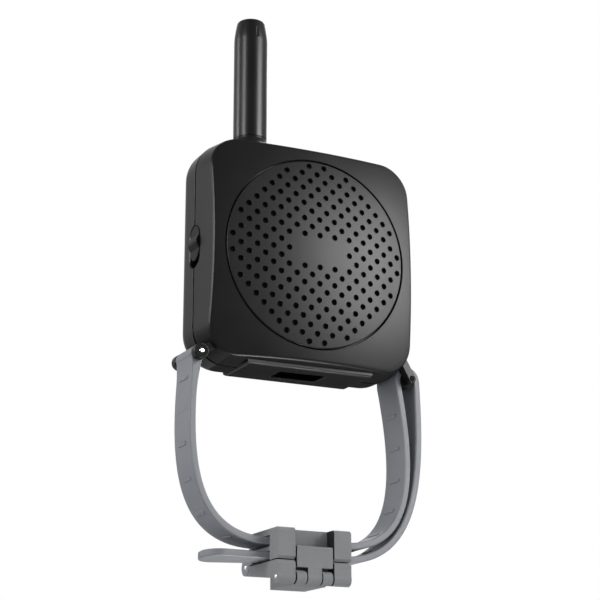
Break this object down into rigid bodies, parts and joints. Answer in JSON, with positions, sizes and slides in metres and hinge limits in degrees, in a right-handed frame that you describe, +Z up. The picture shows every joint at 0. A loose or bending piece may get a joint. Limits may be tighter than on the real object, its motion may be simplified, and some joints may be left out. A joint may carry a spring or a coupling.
{
  "type": "electronic game caller",
  "caption": "Square strap-on field loudspeaker with a domed round grille, stub antenna, side switch and a silicone strap loop closed by a hinged clamp buckle.",
  "frame": {"origin": "centre of the seat pad's face under the case, where the strapped thing bears", "axes": "+Z up along the antenna, -Y out of the grille, +X to the right seen from the front"},
  "size_m": [0.0781, 0.0296, 0.1789],
  "materials": {
    "case_plastic": "fine matte moulded texture",
    "grille_plastic": "fine matte moulded texture",
    "knob_plastic": "satin moulded",
    "antenna_plastic": "satin moulded",
    "seal_rubber": "matte",
    "foam": "open-cell foam",
    "speaker_cloth": "woven acoustic cloth",
    "frame_steel": "black stoved",
    "cone_paper": "pressed fibre",
    "copper": "enamelled wire",
    "plated_steel": "zinc plated",
    "ferrite": "sintered",
    "board_laminate": "solder mask",
    "switch_plastic": "moulded",
    "battery_foil": "laminated foil pouch",
    "brass": "turned",
    "screw_steel": "blackened",
    "pin_steel": "ground bright",
    "strap_silicone": "soft matte silicone",
    "buckle_plastic": "fine matte moulded texture"
  },
  "bodies": {
    "case": {"front_shell": "case_plastic", "rear_shell": "case_plastic", "shell_seal": "seal_rubber", "base_pad": "case_plastic", "grille_plate": "grille_plastic", "dust_mesh": "speaker_cloth", "speaker_gasket": "seal_rubber", "speaker_frame": "frame_steel", "speaker_surround": "seal_rubber", "speaker_spider": "speaker_cloth", "magnet_front_plate": "plated_steel", "speaker_magnet": "ferrite", "magnet_yoke": "plated_steel", "circuit_board": "board_laminate", "usb_socket": "plated_steel", "slide_switch": "switch_plastic", "battery_pad": "foam", "battery_pack": "battery_foil", "antenna_connector": "brass", "antenna_collar": "antenna_plastic", "case_screws": "screw_steel", "strap_pin": "pin_steel", "strap_bar": "case_plastic", "strap": "strap_silicone", "buckle_frame": "buckle_plastic", "jaw_pin": "pin_steel"},
    "knob": {"switch_knob": "knob_plastic"},
    "antenna": {"antenna": "antenna_plastic"},
    "cone": {"speaker_cone": "cone_paper", "dust_cap": "cone_paper", "voice_coil": "copper"},
    "jaw": {"buckle_jaw": "buckle_plastic", "latch_pin": "pin_steel"},
    "latch": {"buckle_latch": "buckle_plastic"}
  },
  "joints": [
    {"name": "switch_slide", "type": "slide", "parent": "case", "child": "knob", "axis": [0, 0, -1], "range_m": [0, 0.0021]},
    {"name": "antenna_turn", "type": "hinge", "parent": "case", "child": "antenna", "pos_m": [-0.0168, 0, 0.09], "axis": [0, 0, 1], "continuous": true},
    {"name": "cone_travel", "type": "slide", "parent": "case", "child": "cone", "axis": [0, -1, 0], "range_m": [-0.0004, 0.0004], "stiffness_N_per_m": 150},
    {"name": "latch_flip", "type": "hinge", "parent": "jaw", "child": "latch", "pos_m": [0, -0.0096, -0.0621], "axis": [1, 0, 0], "range_deg": [0, 120]},
    {"name": "jaw_drop", "type": "hinge", "parent": "case", "child": "jaw", "pos_m": [0, 0.0115, -0.05735], "axis": [1, 0, 0], "range_deg": [0, 40]}
  ],
  "couplings": [
    {"joint": "latch_flip", "follows": "jaw_drop", "ratio": 3}
  ]
}
